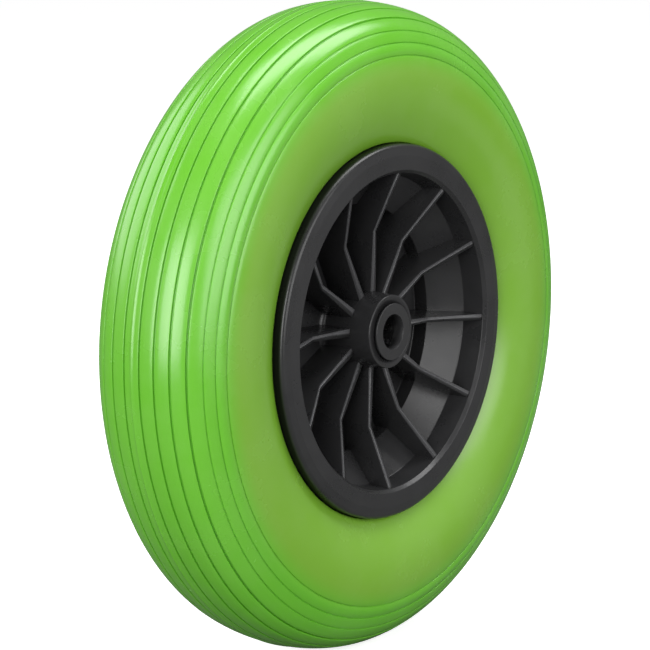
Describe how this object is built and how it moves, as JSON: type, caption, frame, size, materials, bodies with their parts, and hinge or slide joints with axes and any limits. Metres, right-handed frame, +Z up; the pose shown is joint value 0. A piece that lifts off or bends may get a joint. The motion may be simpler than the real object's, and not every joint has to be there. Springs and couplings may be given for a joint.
{
  "type": "wheelbarrow wheel",
  "caption": "Puncture-proof foam tyre with a ribbed tread on a dished plastic rim with radial ribs and a roller-bearing hub for a plain axle.",
  "frame": {"origin": "the wheel's centre, on the axle's line in the middle plane", "axes": "+Y along the axle, away from the face that the picture shows; +Z up; the wheel stands upright"},
  "size_m": [0.4006, 0.09, 0.4006],
  "materials": {
    "tyre": "satin moulded foam skin, green",
    "rim": "satin moulded plastic, dark grey",
    "cap": "satin moulded plastic, dark grey",
    "cage": "moulded plastic, near black",
    "roller": "ground steel"
  },
  "bodies": {
    "wheel": {"rim": "rim", "tyre": "tyre", "cap_front": "cap", "cap_back": "cap"},
    "cage_front": {"cage_front": "cage"},
    "cage_back": {"cage_back": "cage"},
    "roller_front_1": {"roller_front_1": "roller"},
    "roller_front_2": {"roller_front_2": "roller"},
    "roller_front_3": {"roller_front_3": "roller"},
    "roller_front_4": {"roller_front_4": "roller"},
    "roller_front_5": {"roller_front_5": "roller"},
    "roller_front_6": {"roller_front_6": "roller"},
    "roller_front_7": {"roller_front_7": "roller"},
    "roller_front_8": {"roller_front_8": "roller"},
    "roller_back_1": {"roller_back_1": "roller"},
    "roller_back_2": {"roller_back_2": "roller"},
    "roller_back_3": {"roller_back_3": "roller"},
    "roller_back_4": {"roller_back_4": "roller"},
    "roller_back_5": {"roller_back_5": "roller"},
    "roller_back_6": {"roller_back_6": "roller"},
    "roller_back_7": {"roller_back_7": "roller"},
    "roller_back_8": {"roller_back_8": "roller"}
  },
  "joints": [
    {"name": "cage_front_spin", "type": "hinge", "parent": "wheel", "child": "cage_front", "pos_m": [0, -0.0199, 0], "axis": [0, 1, 0], "continuous": true},
    {"name": "cage_back_spin", "type": "hinge", "parent": "wheel", "child": "cage_back", "pos_m": [0, 0.0199, 0], "axis": [0, 1, 0], "continuous": true},
    {"name": "roller_front_1_spin", "type": "hinge", "parent": "cage_front", "child": "roller_front_1", "pos_m": [0.00887, -0.0199, 0.00887], "axis": [0, 1, 0], "continuous": true},
    {"name": "roller_front_2_spin", "type": "hinge", "parent": "cage_front", "child": "roller_front_2", "pos_m": [0, -0.0199, 0.01255], "axis": [0, 1, 0], "continuous": true},
    {"name": "roller_front_3_spin", "type": "hinge", "parent": "cage_front", "child": "roller_front_3", "pos_m": [-0.00887, -0.0199, 0.00887], "axis": [0, 1, 0], "continuous": true},
    {"name": "roller_front_4_spin", "type": "hinge", "parent": "cage_front", "child": "roller_front_4", "pos_m": [-0.01255, -0.0199, 0], "axis": [0, 1, 0], "continuous": true},
    {"name": "roller_front_5_spin", "type": "hinge", "parent": "cage_front", "child": "roller_front_5", "pos_m": [-0.00887, -0.0199, -0.00887], "axis": [0, 1, 0], "continuous": true},
    {"name": "roller_front_6_spin", "type": "hinge", "parent": "cage_front", "child": "roller_front_6", "pos_m": [0, -0.0199, -0.01255], "axis": [0, 1, 0], "continuous": true},
    {"name": "roller_front_7_spin", "type": "hinge", "parent": "cage_front", "child": "roller_front_7", "pos_m": [0.00887, -0.0199, -0.00887], "axis": [0, 1, 0], "continuous": true},
    {"name": "roller_front_8_spin", "type": "hinge", "parent": "cage_front", "child": "roller_front_8", "pos_m": [0.01255, -0.0199, 0], "axis": [0, 1, 0], "continuous": true},
    {"name": "roller_back_1_spin", "type": "hinge", "parent": "cage_back", "child": "roller_back_1", "pos_m": [0.00887, 0.0199, 0.00887], "axis": [0, 1, 0], "continuous": true},
    {"name": "roller_back_2_spin", "type": "hinge", "parent": "cage_back", "child": "roller_back_2", "pos_m": [0, 0.0199, 0.01255], "axis": [0, 1, 0], "continuous": true},
    {"name": "roller_back_3_spin", "type": "hinge", "parent": "cage_back", "child": "roller_back_3", "pos_m": [-0.00887, 0.0199, 0.00887], "axis": [0, 1, 0], "continuous": true},
    {"name": "roller_back_4_spin", "type": "hinge", "parent": "cage_back", "child": "roller_back_4", "pos_m": [-0.01255, 0.0199, 0], "axis": [0, 1, 0], "continuous": true},
    {"name": "roller_back_5_spin", "type": "hinge", "parent": "cage_back", "child": "roller_back_5", "pos_m": [-0.00887, 0.0199, -0.00887], "axis": [0, 1, 0], "continuous": true},
    {"name": "roller_back_6_spin", "type": "hinge", "parent": "cage_back", "child": "roller_back_6", "pos_m": [0, 0.0199, -0.01255], "axis": [0, 1, 0], "continuous": true},
    {"name": "roller_back_7_spin", "type": "hinge", "parent": "cage_back", "child": "roller_back_7", "pos_m": [0.00887, 0.0199, -0.00887], "axis": [0, 1, 0], "continuous": true},
    {"name": "roller_back_8_spin", "type": "hinge", "parent": "cage_back", "child": "roller_back_8", "pos_m": [0.01255, 0.0199, 0], "axis": [0, 1, 0], "continuous": true}
  ],
  "couplings": [
    {"joint": "roller_front_1_spin", "follows": "cage_front_spin", "ratio": -6.02},
    {"joint": "roller_front_2_spin", "follows": "cage_front_spin", "ratio": -6.02},
    {"joint": "roller_front_3_spin", "follows": "cage_front_spin", "ratio": -6.02},
    {"joint": "roller_front_4_spin", "follows": "cage_front_spin", "ratio": -6.02},
    {"joint": "roller_front_5_spin", "follows": "cage_front_spin", "ratio": -6.02},
    {"joint": "roller_front_6_spin", "follows": "cage_front_spin", "ratio": -6.02},
    {"joint": "roller_front_7_spin", "follows": "cage_front_spin", "ratio": -6.02},
    {"joint": "roller_front_8_spin", "follows": "cage_front_spin", "ratio": -6.02},
    {"joint": "roller_back_1_spin", "follows": "cage_back_spin", "ratio": -6.02},
    {"joint": "roller_back_2_spin", "follows": "cage_back_spin", "ratio": -6.02},
    {"joint": "roller_back_3_spin", "follows": "cage_back_spin", "ratio": -6.02},
    {"joint": "roller_back_4_spin", "follows": "cage_back_spin", "ratio": -6.02},
    {"joint": "roller_back_5_spin", "follows": "cage_back_spin", "ratio": -6.02},
    {"joint": "roller_back_6_spin", "follows": "cage_back_spin", "ratio": -6.02},
    {"joint": "roller_back_7_spin", "follows": "cage_back_spin", "ratio": -6.02},
    {"joint": "roller_back_8_spin", "follows": "cage_back_spin", "ratio": -6.02}
  ]
}
